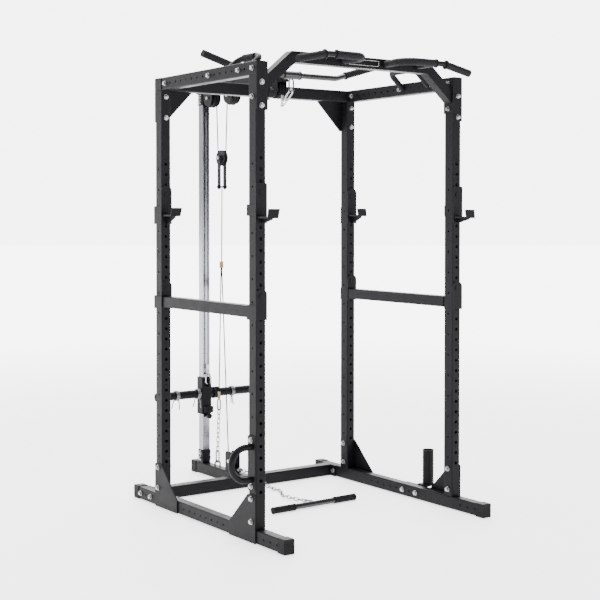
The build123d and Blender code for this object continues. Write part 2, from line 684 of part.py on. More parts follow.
def pulley_axles():
    parts = []
    for y in TOP_WHEELS_Y:
        parts.extend(axle(y, WHEEL_Z, BOOM / 2 + CHEEK))
        parts.extend(spacers(y, WHEEL_Z, BOOM / 2))
    parts.extend(axle(LOW_WHEEL_Y, LOW_WHEEL_Z, LOW_CHEEK_HALF + CHEEK))
    parts.extend(spacers(LOW_WHEEL_Y, LOW_WHEEL_Z, LOW_CHEEK_HALF))
    parts.extend(axle(BLOCK_Y, BLOCK_Z, BLOCK_HALF + STRAP))
    parts.extend(spacers(BLOCK_Y, BLOCK_Z, BLOCK_HALF))
    return as_group(parts)


def block_straps():
    """The two flat straps of the floating pulley block."""
    straps = []
    for side in (-1, 1):
        x = BLOCK_HALF if side > 0 else -BLOCK_HALF - STRAP
        strap = box((x, x + STRAP), (BLOCK_Y - STRAP_HALF_WIDTH, BLOCK_Y + STRAP_HALF_WIDTH), (BLOCK_FOOT_Z, BLOCK_Z))
        for z, hole_r in ((BLOCK_Z, AXLE_R + AXLE_GAP), (BLOCK_FOOT_Z, 5)):
            strap += rod((x, BLOCK_Y, z), (x + STRAP, BLOCK_Y, z), STRAP_HALF_WIDTH)
            strap -= rod((x - 5, BLOCK_Y, z), (x + 10, BLOCK_Y, z), hole_r)
        straps.append(strap)
    return as_group(straps)


def block_foot_bolt():
    """Cross bolt at the foot of the block that both lower cables hang on, with a round nut on each end."""
    bolt = rod((-30, BLOCK_Y, BLOCK_FOOT_Z), (30, BLOCK_Y, BLOCK_FOOT_Z), 5)
    for side in (-1, 1):
        bolt += rod((side * 20.5, BLOCK_Y, BLOCK_FOOT_Z), (side * 27, BLOCK_Y, BLOCK_FOOT_Z), 9)
    return bolt


def base_eye():
    """Half ring on top of the tower base tube for the tether."""
    points = [(-16, EYE_Y, RAIL_TOP), (-16, EYE_Y, EYE_TOP), (16, EYE_Y, EYE_TOP), (16, EYE_Y, RAIL_TOP)]
    return bent_rod(points, [15, 15], 4)


def belt_path(stops):
    """Cable line in the middle plane around wheels. Each stop is (y, z, signed radius); the sign is
    + where the cable turns to its left, and a radius of 0 is an end point."""
    contacts = []
    for (y1, z1, s1), (y2, z2, s2) in zip(stops, stops[1:]):
        span = math.hypot(y2 - y1, z2 - z1)
        uy, uz = (y2 - y1) / span, (z2 - z1) / span
        along = (s1 - s2) / span
        across = math.sqrt(1 - along * along)
        ny, nz = along * uy + across * uz, along * uz - across * uy
        contacts.append(((y1 + s1 * ny, z1 + s1 * nz), (y2 + s2 * ny, z2 + s2 * nz)))
    edges = []
    for index, (first, last) in enumerate(contacts):
        edges.append(Line((0, *first), (0, *last)))
        if index + 1 < len(contacts):
            y, z, radius = stops[index + 1]
            begin = math.atan2(last[1] - z, last[0] - y)
            finish = math.atan2(contacts[index + 1][0][1] - z, contacts[index + 1][0][0] - y)
            turn = (finish - begin) % (2 * math.pi) if radius > 0 else -((begin - finish) % (2 * math.pi))
            middle = begin + turn / 2
            through = (0, y + abs(radius) * math.cos(middle), z + abs(radius) * math.sin(middle))
            edges.append(ThreePointArc((0, *last), through, (0, *contacts[index + 1][0])))
    return Wire(edges)


def cable(stops):
    path = belt_path(stops)
    return sweep(Plane(origin=path @ 0, z_dir=path % 0) * Circle(CABLE_R), path=path)


def upper_cable():
    """Fixed-length part of the main cable: over the rear wheel, under the block, over the other two."""
    return cable([(LIFT_CABLE_Y, WHEEL_Z - 0.5, 0), (REAR_WHEEL_Y, WHEEL_Z, WHEEL_PITCH_R),
        (BLOCK_Y, BLOCK_Z, -SMALL_PITCH_R), (MIDDLE_WHEEL_Y, WHEEL_Z, WHEEL_PITCH_R),
        (FRONT_WHEEL_Y, WHEEL_Z, WHEEL_PITCH_R), (LAT_FERRULE_Y, LAT_EXIT_Z - 0.5, 0)])


def lift_cable_run():
    return rod((0, LIFT_CABLE_Y, CARRIAGE_FERRULE_Z), (0, LIFT_CABLE_Y, WHEEL_Z - 0.5), CABLE_R)


def lat_cable_run():
    return rod((0, LAT_FERRULE_Y, LAT_EXIT_Z - 50), (0, LAT_FERRULE_Y, LAT_EXIT_Z - 1), CABLE_R)


def low_cable():
    """From the block's foot down to the low wheel and out to the front, just above the floor tube."""
    return cable([(BLOCK_Y, BLOCK_FOOT_Z - 9, 0), (SPLIT_Y - SPLIT_BEND, SPLIT_Z, -SPLIT_BEND),
        (LOW_WHEEL_Y, LOW_WHEEL_Z, -SMALL_PITCH_R), (LOW_WHEEL_Y - 2, LOW_CABLE_Z, 0)])


def row_cable_run():
    return rod((0, ROW_FERRULE_Y, LOW_CABLE_Z), (0, LOW_WHEEL_Y - 2.5, LOW_CABLE_Z), CABLE_R)


def tether_cable():
    return rod((0, SPLIT_Y + 6, SPLIT_Z - 19), (0, TETHER_HOOK_Y, TETHER_HOOK_Z), CABLE_R)


def ring_link(middle, along, across, length, width, wire):
    """A closed oblong link of round wire; length and width are outside sizes."""
    middle = Vector(*middle)
    along = Vector(*along).normalized()
    across = Vector(*across).normalized()
    half_width = width / 2 - wire
    half_straight = length / 2 - wire - half_width

    def at(a, b):
        return middle + along * a + across * b
    path = Wire([
        Line(at(-half_straight, half_width), at(half_straight, half_width)),
        ThreePointArc(at(half_straight, half_width), at(half_straight + half_width, 0),
            at(half_straight, -half_width)),
        Line(at(half_straight, -half_width), at(-half_straight, -half_width)),
        ThreePointArc(at(-half_straight, -half_width), at(-half_straight - half_width, 0),
            at(-half_straight, half_width))])
    return sweep(Plane(origin=path @ 0, z_dir=path % 0) * Circle(wire), path=path)


def chain(points, radii, up):
    """Oblong links evenly along a line, each turned a quarter; the last one stands up."""
    path = FilletPolyline(*points, radius=radii) if radii else Line(*points)
    steps = math.ceil((path.length - LINK_LENGTH) / LINK_PITCH)
    pitch = (path.length - LINK_LENGTH) / steps
    links = []
    for index in range(steps + 1):
        distance = LINK_LENGTH / 2 + index * pitch
        middle = path.position_at(distance, position_mode=PositionMode.LENGTH)
        along = path.tangent_at(distance, position_mode=PositionMode.LENGTH)
        level = along.cross(Vector(*up)).normalized()
        across = level if (steps - index) % 2 else level.cross(along).normalized()
        links.append(ring_link(tuple(middle), tuple(along), tuple(across), LINK_LENGTH, LINK_WIDTH, LINK_WIRE))
    return links


def cable_ferrules_fixed():
    """Crimped sleeves on the lower cables that stay with the frame."""
    split = rod((0, SPLIT_Y + 2, SPLIT_Z + 14), (0, SPLIT_Y + 2, SPLIT_Z - 20), 11)
    hook = rod((0, TETHER_HOOK_Y, TETHER_HOOK_Z + 30), (0, TETHER_HOOK_Y, TETHER_HOOK_Z - 5), 7)
    return as_group([split - low_cable() - tether_cable(), hook - tether_cable()])


def tether_chain():
    """Snap hook and chain between the tether cable and the eye on the tower base tube."""
    hook_middle = TETHER_HOOK_Z - 5 - 34
    chain_top = hook_middle - 34 + 2 * HOOK_WIRE + CONTACT + 2 * LINK_WIRE
    snap_low = EYE_TOP - 2 * HOOK_WIRE - CONTACT
    snap_high = 148.5
    chain_low = snap_high - HOOK_WIRE - CONTACT - 2 * LINK_WIRE
    hook = ring_link((0, TETHER_HOOK_Y, hook_middle), (0, 0, 1), (0, 1, 0), 68, 36, HOOK_WIRE)
    links = chain([(0, TETHER_HOOK_Y, chain_top), (0, EYE_Y, chain_low)], None, (1, 0, 0))
    snap = ring_link((0, EYE_Y, (snap_low + snap_high) / 2), (0, 0, 1), (0, 1, 0),
        snap_high - snap_low + 2 * HOOK_WIRE, 36, HOOK_WIRE)
    return as_group([hook, snap] + links)


# ---- carriage ----
def carriage():
    """Sliding sleeve on the guide tube, with a weight peg on each side, a cable lug and a latch block."""
    half = CARRIAGE / 2
    front = TOWER_Y - half
    sleeve = square_tube((-half, half), (front, TOWER_Y + half), (CARRIAGE_BOTTOM, CARRIAGE_TOP), Axis.Z,
        wall=CARRIAGE_WALL, corner=6)
    for side in (-1, 1):
        sleeve += ring_along((side * half, TOWER_Y, PEG_Z), (side * PEG_END, TOWER_Y, PEG_Z), PEG_R, PEG_R - 3)
    lug = box((-3, 3), (LIFT_CABLE_Y - 14, front), (CARRIAGE_TOP - 52, CARRIAGE_TOP - 6))
    lug -= rod((-5, LIFT_CABLE_Y, LUG_HOLE_Z), (5, LIFT_CABLE_Y, LUG_HOLE_Z), 6)
    latch = rounded_box((-22, 30), (front - 16, front), (CARRIAGE_BOTTOM + 8, CARRIAGE_BOTTOM + 42), Axis.X, 3)
    return sleeve + lug + latch


def carriage_liners():
    """Plastic liners inside both ends of the sleeve, a running fit on the guide tube."""
    inner = CARRIAGE / 2 - CARRIAGE_WALL
    bore = GUIDE / 2 + 0.4
    length = 40
    liners = []
    for low in (CARRIAGE_BOTTOM, CARRIAGE_TOP - length):
        outer = rounded_box((-inner, inner), (TOWER_Y - inner, TOWER_Y + inner), (low, low + length), Axis.Z, 2.5)
        liners.append(outer - rounded_box((-bore, bore), (TOWER_Y - bore, TOWER_Y + bore),
            (low - 1, low + length + 1), Axis.Z, 3.6))
    return as_group(liners)


def peg_plugs():
    """Plastic plugs in the open ends of the weight pegs."""
    plugs = []
    for side in (-1, 1):
        plug = rod((side * (PEG_END - 12), TOWER_Y, PEG_Z), (side * PEG_END, TOWER_Y, PEG_Z), PEG_R - 3)
        plug += rod((side * PEG_END, TOWER_Y, PEG_Z), (side * (PEG_END + 3), TOWER_Y, PEG_Z), PEG_R - 0.5)
        plugs.append(plug)
    return as_group(plugs)


def peg_bumpers():
    """Two rubber rings on the right peg, next to the sleeve."""
    rings = []
    for start, end in BUMPERS_X:
        ring = ring_along((start, TOWER_Y, PEG_Z), (end, TOWER_Y, PEG_Z), PEG_R + 9, PEG_R)
        rings.append(fillet(ring.edges().filter_by(GeomType.CIRCLE).sort_by(SortBy.RADIUS)[-2:], 4))
    return as_group(rings)


def spring_collar(side, x):
    """Coil of three turns that grips a peg, with two squeeze handles that hang down."""
    pitch = 2 * COLLAR_WIRE + 0.5
    turns = []
    for turn in range(3):
        turn_x = side * (x + COLLAR_WIRE + turn * pitch)
        coil = Torus(PEG_R + COLLAR_WIRE + 0.1, COLLAR_WIRE)
        turns.append(Pos(turn_x, TOWER_Y, PEG_Z) * Rot(0, -90, 0) * coil)
    for turn, lean in ((0, -1), (2, 1)):
        handle_x = side * (x + COLLAR_WIRE + turn * pitch)
        root = (handle_x, TOWER_Y + lean * 14, PEG_Z - 21.3)
        tip = (handle_x + side * (5 + 3 * lean), TOWER_Y + lean * 26, PEG_Z - 72)
        turns[turn] += rod(root, tip, COLLAR_WIRE)
        turns[turn] += Pos(*tip) * Sphere(COLLAR_WIRE)
    return as_group(turns)


def lift_fittings():
    """Snap hook on the lug and the crimped eye of the lifting cable."""
    hook = ring_link((0, LIFT_CABLE_Y, LUG_HOLE_Z + 29.5), (0, 0, 1), (1, 0, 0), 64, 36, HOOK_WIRE)
    top = LUG_HOLE_Z + 29.5 + 32
    eye = ring_link((0, LIFT_CABLE_Y, top + 2), (0, 0, 1), (0, 1, 0), 30, 22, 2.5)
    sleeve = rod((0, LIFT_CABLE_Y, top + 17), (0, LIFT_CABLE_Y, top + 48), 7)
    sleeve -= rod((0, LIFT_CABLE_Y, CARRIAGE_FERRULE_Z - 1), (0, LIFT_CABLE_Y, top + 60), CABLE_R)
    return as_group([hook, eye, sleeve])


def stop_pin():
    """Cross pin that the carriage rests on, with a round knob in front."""
    pin = rod((0, TOWER_Y - 40, STOP_PIN_Z), (0, TOWER_Y + 34, STOP_PIN_Z), STOP_PIN_R)
    knob = rod((0, TOWER_Y - 62, STOP_PIN_Z), (0, TOWER_Y - 40, STOP_PIN_Z), 14)
    return pin + fillet(knob.edges(), 3)


# ---- lat bar ----
def lat_bar():
    """Bent pull-down bar: a straight middle and two ends that slope."""
    reach, rise = LAT_END
    points = [(-reach, LAT_Y, LAT_Z + rise), (-LAT_BEND_X, LAT_Y, LAT_Z), (LAT_BEND_X, LAT_Y, LAT_Z),
        (reach, LAT_Y, LAT_Z + rise)]
    return bent_rod(points, [90, 90], LAT_BAR_R, bore=LAT_BAR_R - 2.5)


def lat_slope(distance, side):
    """A point on a sloping end of the lat bar, at a distance from its bend."""
    slope = Vector(LAT_END[0] - LAT_BEND_X, 0, LAT_END[1]).normalized()
    point = Vector(LAT_BEND_X, LAT_Y, LAT_Z) + slope * distance
    return (side * point.X, point.Y, point.Z)


def lat_bar_grips():
    grips = []
    for side in (-1, 1):
        grips.append(ring_along(lat_slope(60, side), lat_slope(66, side), 20, LAT_BAR_R))
        grips.append(ring_along(lat_slope(66, side), lat_slope(250, side), 17.5, LAT_BAR_R))
        grips.append(rod(lat_slope(250.2, side), lat_slope(254, side), 17.5))
    return as_group(grips)


def lat_bar_hub():
    """Swivel sleeve in the middle of the bar with the eye that the cable hooks into."""
    sleeve = ring_along((-44, LAT_Y, LAT_Z), (44, LAT_Y, LAT_Z), 20, LAT_BAR_R)
    for side in (-1, 1):
        sleeve += ring_along((side * 44, LAT_Y, LAT_Z), (side * 49, LAT_Y, LAT_Z), 22, LAT_BAR_R)
    eye = ring_link((0, LAT_Y + 6, LAT_Z - 49), (0, 0, 1), (1, 0, 0), 71, 34, HOOK_WIRE)
    eye -= rod((-60, LAT_Y, LAT_Z), (60, LAT_Y, LAT_Z), LAT_BAR_R + 2)
    return sleeve + eye


def lat_fittings():
    """Crimped eye below the front wheel, one link and the snap hook that holds the bar's eye."""
    ferrule = rod((0, LAT_FERRULE_Y, LAT_FERRULE_TOP - 27), (0, LAT_FERRULE_Y, LAT_FERRULE_TOP), 8)
    eye_cut = ferrule
    ferrule -= lat_cable_run()
    eye_low = Vector(0, LAT_FERRULE_Y, LAT_FERRULE_TOP - 51)
    eye = ring_link(tuple(eye_low + Vector(0, 0, 11.5)), (0, 0, 1), (0, 1, 0), 28, 20, 2.5)
    pull = Vector(0, -0.767, 0.641)
    link = ring_link(tuple(eye_low + pull * 18.9), tuple(pull), (1, 0, 0), 56.6, 24, 3)
    hook = ring_link(tuple(eye_low + pull * 72.9), tuple(pull), (0, 0.641, 0.767), 80, 34, HOOK_WIRE)
    return as_group([ferrule, eye - eye_cut, link, hook])


# ---- row bar ----
def place_row(shape):
    return Pos(ROW_X, ROW_Y, ROW_GRIP_R) * Rot(0, 0, ROW_LEAN) * shape


def row_bar():
    """Short straight handle bar that lies on the floor, with a welded eye."""
    bar = ring_along((-ROW_HALF, 0, 0), (ROW_HALF, 0, 0), ROW_BAR_R, ROW_BAR_R - 3)
    eye = ring_link((0, ROW_BAR_R + 11, 0), (0, 1, 0), (0, 0, 1), 34, 26, 3.5)
    return place_row(bar + eye)


def row_bar_grips():
    grips = []
    for side in (-1, 1):
        inner = (side * (ROW_HALF - 124), 0, 0)
        grips.append(ring_along((side * (ROW_HALF - 128), 0, 0), inner, ROW_GRIP_R, ROW_BAR_R))
        grips.append(ring_along(inner, (side * ROW_HALF, 0, 0), ROW_GRIP_R - 0.8, ROW_BAR_R))
        grips.append(rod((side * (ROW_HALF + 0.2), 0, 0), (side * (ROW_HALF + 4), 0, 0), ROW_GRIP_R))
    return as_group([place_row(grip) for grip in grips])


def row_chain():
    """Stop ball, crimped sleeve, chain over the cross-member and along the floor, and the snap hook."""
    sleeve = rod((0, ROW_FERRULE_Y - 13.5, LOW_CABLE_Z), (0, ROW_FERRULE_Y + 18, LOW_CABLE_Z), 8)
    sleeve -= rod((0, ROW_FERRULE_Y, LOW_CABLE_Z), (0, LOW_WHEEL_Y, LOW_CABLE_Z), CABLE_R)
    ball = Pos(0, ROW_FERRULE_Y - 27, LOW_CABLE_Z) * Sphere(13.5)
    links = chain(ROW_CHAIN_POINTS, [50, 40, 60, 50, 60], (0, 0, 1))
    eye_across = (0, 0, 1) if len(links) % 2 == 0 else (1, 0, 0)
    into_ball = 12.3
    eye_length = into_ball + 4 * LINK_WIRE + CONTACT
    eye_middle = (0, ROW_CHAIN_START + into_ball - eye_length / 2, LOW_CABLE_Z)
    eye = ring_link(eye_middle, (0, 1, 0), eye_across, eye_length, 15, LINK_WIRE)
    hook = ring_link(ROW_HOOK_MIDDLE, ROW_HOOK_LINE, (0.954, -0.3, 0), 76, 34, HOOK_WIRE)
    return as_group([sleeve, ball, eye - ball, hook] + links)


# ---- hooks and safeties ----
def post_sleeve(side, front_y, low, high):
    """U-shaped sleeve around a post, open towards the inside of the cage."""
    gap_x = POST_OUT + SIDE_GAP
    outer_x = gap_x + SLEEVE_PLATE
    face = front_y - SIDE_GAP
    rear = front_y + TUBE_H + SIDE_GAP
    sleeve = box((POST_IN - 2, outer_x), (face - PLATE, face), (low, high))
    sleeve += box((gap_x, outer_x), (face, rear), (low, high))
    sleeve += box((POST_IN + 4, outer_x), (rear, rear + SLEEVE_PLATE), (low, high))
    return mirrored(sleeve, side)


def hook_plate(side, front_y, low, high, top_radius):
    """Front plate of a hook or safety, with rounded top corners."""
    face = front_y - SIDE_GAP
    plate = box((POST_IN - 2, POST_OUT + SIDE_GAP + SLEEVE_PLATE), (face - PLATE, face), (low, high))
    corners = plate.edges().filter_by(Axis.Y).group_by(Axis.Z)[-1]
    return mirrored(fillet(corners, top_radius), side)


def pin(side, front_y, z):
    """Locking pin through a front hole of the post, with its round head."""
    face = front_y - SIDE_GAP - PLATE
    head_face = face - 3
    stud = rod((side * POST_X, head_face, z), (side * POST_X, front_y + 16, z), PIN_R)
    return stud + rod((side * POST_X, head_face, z), (side * POST_X, face, z), PIN_HEAD_R)


def j_hook(side, y_side):
    """Bar hook on the front face of a post. The rear pair has a taller sleeve than the front pair."""
    front_y = y_side * POST_Y - TUBE_H / 2
    rear_pair = y_side > 0
    low, high = (1384, 1571) if rear_pair else (1392, 1566)
    sleeve_low, sleeve_high = (1384, 1471) if rear_pair else (1424, 1474)
    shelf_top = 1430.0 if rear_pair else 1421.0
    shelf_low = shelf_top - 8
    face = front_y - SIDE_GAP - PLATE
    tip = face - HOOK_REACH
    body = hook_plate(side, front_y, low, high, 26 if rear_pair else 8)
    body += post_sleeve(side, front_y, sleeve_low, sleeve_high)
    shelf = box((POST_IN + 1, POST_OUT), (tip, face), (shelf_low, shelf_top))
    lip = [(POST_IN + 1, shelf_low), (POST_OUT + 4, shelf_low), (POST_OUT, shelf_top + 33),
        (POST_IN - 8, shelf_top + 33)]
    shelf += plate_xz(lip, tip - PLATE, PLATE)
    web = [(face, low), (face, shelf_low), (tip + 4, shelf_low), (tip + 4, shelf_low - 6), (face - 12, low)]
    shelf += plate_yz(web, POST_X - PLATE / 2, PLATE)
    return body + mirrored(shelf, side) + pin(side, front_y, HOOK_PIN_Z)


def safety(side):
    """Safety bar along one side: a tube between two post sleeves with pinned front plates."""
    tube_x = (side * POST_IN, side * POST_OUT)
    tube_y = (-POST_BACK + SIDE_GAP + SLEEVE_PLATE, POST_BACK - SIDE_GAP - PLATE)
    bar = square_tube(tube_x, tube_y, SAFETY_TUBE_Z, Axis.Y, corner=4)
    for front_y in (-POST_FRONT, POST_BACK):
        bar += post_sleeve(side, front_y, *SAFETY_SLEEVE_Z)
        bar += hook_plate(side, front_y, SAFETY_SLEEVE_Z[0], SAFETY_PLATE_TOP, 24)
        bar += pin(side, front_y, SAFETY_PIN_Z)
    return bar


# ---- fasteners ----
def fasteners():
    bolts = []
    washers = []
    nuts = []
    for start, end in frame_bolt_lines():
        bolt, pair, nut = bolt_set(start, end)
        bolts.append(bolt)
        washers.extend(pair)
        nuts.append(nut)
    return as_group(bolts), as_group(washers), as_group(nuts)


# ---- every node ----
def pair(make):
    """The left and right twins of a piece as one group."""
    shapes = []
    for name, side in SIDES:
        made = make(side)
        shapes.extend(made if isinstance(made, list) else [made])
    return as_group(shapes)


def all_nodes():
    nodes = {}
    for name, side in SIDES:
        nodes["post_front_" + name] = post(side, -1)
        nodes["post_rear_" + name] = post(side, 1)
        nodes["j_hook_front_" + name] = j_hook(side, -1)
        nodes["j_hook_rear_" + name] = j_hook(side, 1)
        nodes["safety_bar_" + name] = safety(side)
        nodes["spring_collar_" + name] = spring_collar(side, OUTER_COLLAR_X)
    nodes["base_rails"] = pair(base_rail)
    nodes["top_beams"] = pair(top_beam)
    nodes["base_gussets"] = pair(base_gussets)
    nodes["pullup_brackets"] = pair(pullup_bracket)
    nodes["pullup_grip_tubes"] = pair(pullup_grip_tube)
    nodes["side_grip_loops"] = pair(side_loop)
    nodes["inner_collar"] = spring_collar(-1, INNER_COLLAR_X)
    nodes["end_caps"] = as_group([base_end_caps(), crossbeam_plugs(), boom_plugs()])
    nodes["rear_floor_crossmember"] = rear_floor_crossmember()
    nodes["rear_top_crossbeam"] = rear_top_crossbeam()
    nodes["pullup_arch"] = pullup_arch()
    nodes["pullup_rubber_grips"] = pullup_rubber_grips()
    nodes["name_plate"] = name_plate()
    nodes["d_handle"] = d_handle()
    nodes["bar_holder"] = bar_holder()
    nodes["tower_base"] = tower_base_tube() + base_eye()
    nodes["guide_sockets"] = as_group([socket(RAIL_TOP, SOCKET_LOW_TOP), socket(SOCKET_HIGH_BOTTOM, BOOM_BOTTOM)])
    nodes["guide_tube"] = guide_tube()
    nodes["stop_pin"] = stop_pin()
    nodes["top_boom"] = top_boom()
    brackets = [wheel_bracket(y) for y in TOP_WHEELS_Y]
    nodes["wheel_brackets"] = as_group(brackets + [low_pulley_bracket()])
    nodes["wheel_rear_top"] = wheel(REAR_WHEEL_Y, WHEEL_Z, WHEEL_R, WHEEL_PITCH_R)
    nodes["wheel_middle_top"] = wheel(MIDDLE_WHEEL_Y, WHEEL_Z, WHEEL_R, WHEEL_PITCH_R)
    nodes["wheel_front_top"] = wheel(FRONT_WHEEL_Y, WHEEL_Z, WHEEL_R, WHEEL_PITCH_R)
    nodes["wheel_block"] = wheel(BLOCK_Y, BLOCK_Z, SMALL_WHEEL_R, SMALL_PITCH_R)
    nodes["wheel_low"] = wheel(LOW_WHEEL_Y, LOW_WHEEL_Z, SMALL_WHEEL_R, SMALL_PITCH_R)
    nodes["wheel_axles"] = pulley_axles()
    nodes["pulley_block"] = as_group([block_straps(), block_foot_bolt()])
    nodes["upper_cable"] = upper_cable()
    nodes["lift_cable_run"] = lift_cable_run()
    nodes["lat_cable_run"] = lat_cable_run()
    nodes["lower_cables"] = as_group([low_cable(), tether_cable()])
    nodes["row_cable_run"] = row_cable_run()
    nodes["cable_ferrules"] = cable_ferrules_fixed()
    nodes["tether_chain"] = tether_chain()
    nodes["carriage"] = carriage()
    nodes["carriage_liners"] = carriage_liners()
    nodes["carriage_rubbers"] = as_group([peg_bumpers(), peg_plugs()])
    nodes["lift_fittings"] = lift_fittings()
    nodes["lat_bar"] = lat_bar()
    nodes["lat_bar_grips"] = lat_bar_grips()
    nodes["lat_bar_hub"] = lat_bar_hub()
    nodes["lat_fittings"] = lat_fittings()
    nodes["row_bar"] = row_bar()
    nodes["row_bar_grips"] = row_bar_grips()
    nodes["row_chain"] = row_chain()
    bolts, washers, nuts = fasteners()
    nodes["frame_bolts"] = bolts
    nodes["frame_nuts_and_washers"] = as_group([washers, nuts])
    return nodes


os.makedirs("parts", exist_ok=True)
for node_name, shape in all_nodes().items():
    export_step(Pos(-MIDDLE_X, -MIDDLE_Y, 0) * shape, "parts/" + node_name + ".step")
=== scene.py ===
import json
import math

import bmesh
import bpy
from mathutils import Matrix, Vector


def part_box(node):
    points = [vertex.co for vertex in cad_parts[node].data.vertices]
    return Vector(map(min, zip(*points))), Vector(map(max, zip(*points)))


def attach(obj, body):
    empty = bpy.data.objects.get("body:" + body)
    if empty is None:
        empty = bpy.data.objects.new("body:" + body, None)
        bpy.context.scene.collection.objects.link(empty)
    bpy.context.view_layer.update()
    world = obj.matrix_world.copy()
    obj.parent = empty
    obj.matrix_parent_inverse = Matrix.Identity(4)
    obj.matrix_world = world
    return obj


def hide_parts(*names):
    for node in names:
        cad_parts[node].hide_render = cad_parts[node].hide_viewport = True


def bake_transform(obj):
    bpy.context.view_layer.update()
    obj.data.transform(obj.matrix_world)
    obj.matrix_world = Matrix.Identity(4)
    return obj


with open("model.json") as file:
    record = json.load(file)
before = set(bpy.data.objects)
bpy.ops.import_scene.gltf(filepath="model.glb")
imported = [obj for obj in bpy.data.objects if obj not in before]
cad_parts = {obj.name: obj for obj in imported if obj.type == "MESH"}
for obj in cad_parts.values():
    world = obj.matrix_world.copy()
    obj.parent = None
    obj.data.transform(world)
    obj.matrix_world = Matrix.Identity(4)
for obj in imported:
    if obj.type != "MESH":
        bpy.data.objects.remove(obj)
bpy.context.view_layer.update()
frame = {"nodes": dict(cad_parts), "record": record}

# Metres, in the row frame. The posts' middle is this far from the origin.
MIDDLE = Vector((0.02425, -0.2025, 0.0))
POST_X = 0.570
POST_Y = 0.4125
POST_HALF_DEPTH = 0.030
NODES = frame["nodes"]
WIRE_WORDS = ("chain", "collar")

# The wall of light stands where the camera looks; the room in front of the cage is dimmer.
BACKDROP_AXIS = (0.45, 0.89, 0.0)
BACKDROP_LIGHT = 6.0
ROOM_LIGHT = 0.4
FLOOR_SIZE = 120.0
# Painted glow: the floor emits light of its own, weaker near the cage and stronger far off.
FLOOR_GLOW_NEAR = 1.6
FLOOR_GLOW_FAR = 5.2
FLOOR_GLOW_STARTS = 1.5
FLOOR_GLOW_ENDS = 9.0
# How squarely a direction has to face the backdrop before it starts to be lit, and is fully lit.
BACKDROP_FADE_STARTS = 0.35
BACKDROP_FADE_ENDS = 0.90


def place(x, y, z):
    """A point given from the middle of the four posts, in the row frame."""
    return MIDDLE + Vector((x, y, z))


# ---- camera ----
CAMERA_SPOT = (-3.570, -4.899, 1.423)
CAMERA_TILT = 88.77
CAMERA_TURN = -34.41
LENS = 74.67
SENSOR_WIDTH = 36.0
SHIFT_ACROSS = 0.0483
SHIFT_UP = -0.0953
FAR_CLIP = 60.0


def add_camera():
    data = bpy.data.cameras.new("camera")
    data.sensor_width = SENSOR_WIDTH
    data.lens = LENS
    data.shift_x = SHIFT_ACROSS
    data.shift_y = SHIFT_UP
    data.clip_end = FAR_CLIP
    camera = bpy.data.objects.new("camera", data)
    camera.location = place(*CAMERA_SPOT)
    camera.rotation_euler = (math.radians(CAMERA_TILT), 0.0, math.radians(CAMERA_TURN))
    bpy.context.scene.collection.objects.link(camera)
    bpy.context.scene.camera = camera


# ---- materials ----
COAT_ROUGHNESS = 0.25
# The middle of the noise, which is where nearly all of it lies, is spread over the whole gloss range.
NOISE_LOW = 0.3
NOISE_HIGH = 0.7
GLOSS_PATCHES_PER_TONE_PATCH = 4


def surface(name, light, dark, rough, rough_swing, metallic=0.0, tone_size=0.25, grain_size=0.002,
            grain_height=0.00004, specular=0.5, coat=0.0, stretch=(1, 1, 1)):
    """A procedural finish: slow changes of tone and gloss, with fine grain in the bump."""
    material = bpy.data.materials.new(name)
    material.use_nodes = True
    tree = material.node_tree
    shader = tree.nodes["Principled BSDF"]
    shader.inputs["Metallic"].default_value = metallic
    shader.inputs["Specular IOR Level"].default_value = specular
    shader.inputs["Coat Weight"].default_value = coat
    shader.inputs["Coat Roughness"].default_value = COAT_ROUGHNESS
    place_node = tree.nodes.new("ShaderNodeTexCoord")
    mapping = tree.nodes.new("ShaderNodeMapping")
    mapping.inputs["Scale"].default_value = stretch
    tree.links.new(place_node.outputs["Object"], mapping.inputs["Vector"])

    def noise(size, detail, roughness):
        node = tree.nodes.new("ShaderNodeTexNoise")
        node.inputs["Scale"].default_value = 1.0 / size
        node.inputs["Detail"].default_value = detail
        node.inputs["Roughness"].default_value = roughness
        tree.links.new(mapping.outputs["Vector"], node.inputs["Vector"])
        return node.outputs["Fac"]

    tone = tree.nodes.new("ShaderNodeMix")
    tone.data_type = "RGBA"
    tone.inputs["A"].default_value = (*dark, 1.0)
    tone.inputs["B"].default_value = (*light, 1.0)
    tree.links.new(noise(tone_size, 5.0, 0.6), tone.inputs["Factor"])
    tree.links.new(tone.outputs["Result"], shader.inputs["Base Color"])
    gloss = tree.nodes.new("ShaderNodeMapRange")
    gloss.inputs["From Min"].default_value = NOISE_LOW
    gloss.inputs["From Max"].default_value = NOISE_HIGH
    gloss.inputs["To Min"].default_value = rough - rough_swing
    gloss.inputs["To Max"].default_value = rough + rough_swing
    tree.links.new(noise(tone_size / GLOSS_PATCHES_PER_TONE_PATCH, 6.0, 0.7), gloss.inputs["Value"])
    tree.links.new(gloss.outputs["Result"], shader.inputs["Roughness"])
    bump = tree.nodes.new("ShaderNodeBump")
    bump.inputs["Strength"].default_value = 1.0
    bump.inputs["Distance"].default_value = grain_height
    tree.links.new(noise(grain_size, 3.0, 0.55), bump.inputs["Height"])
    tree.links.new(bump.outputs["Normal"], shader.inputs["Normal"])
    return material


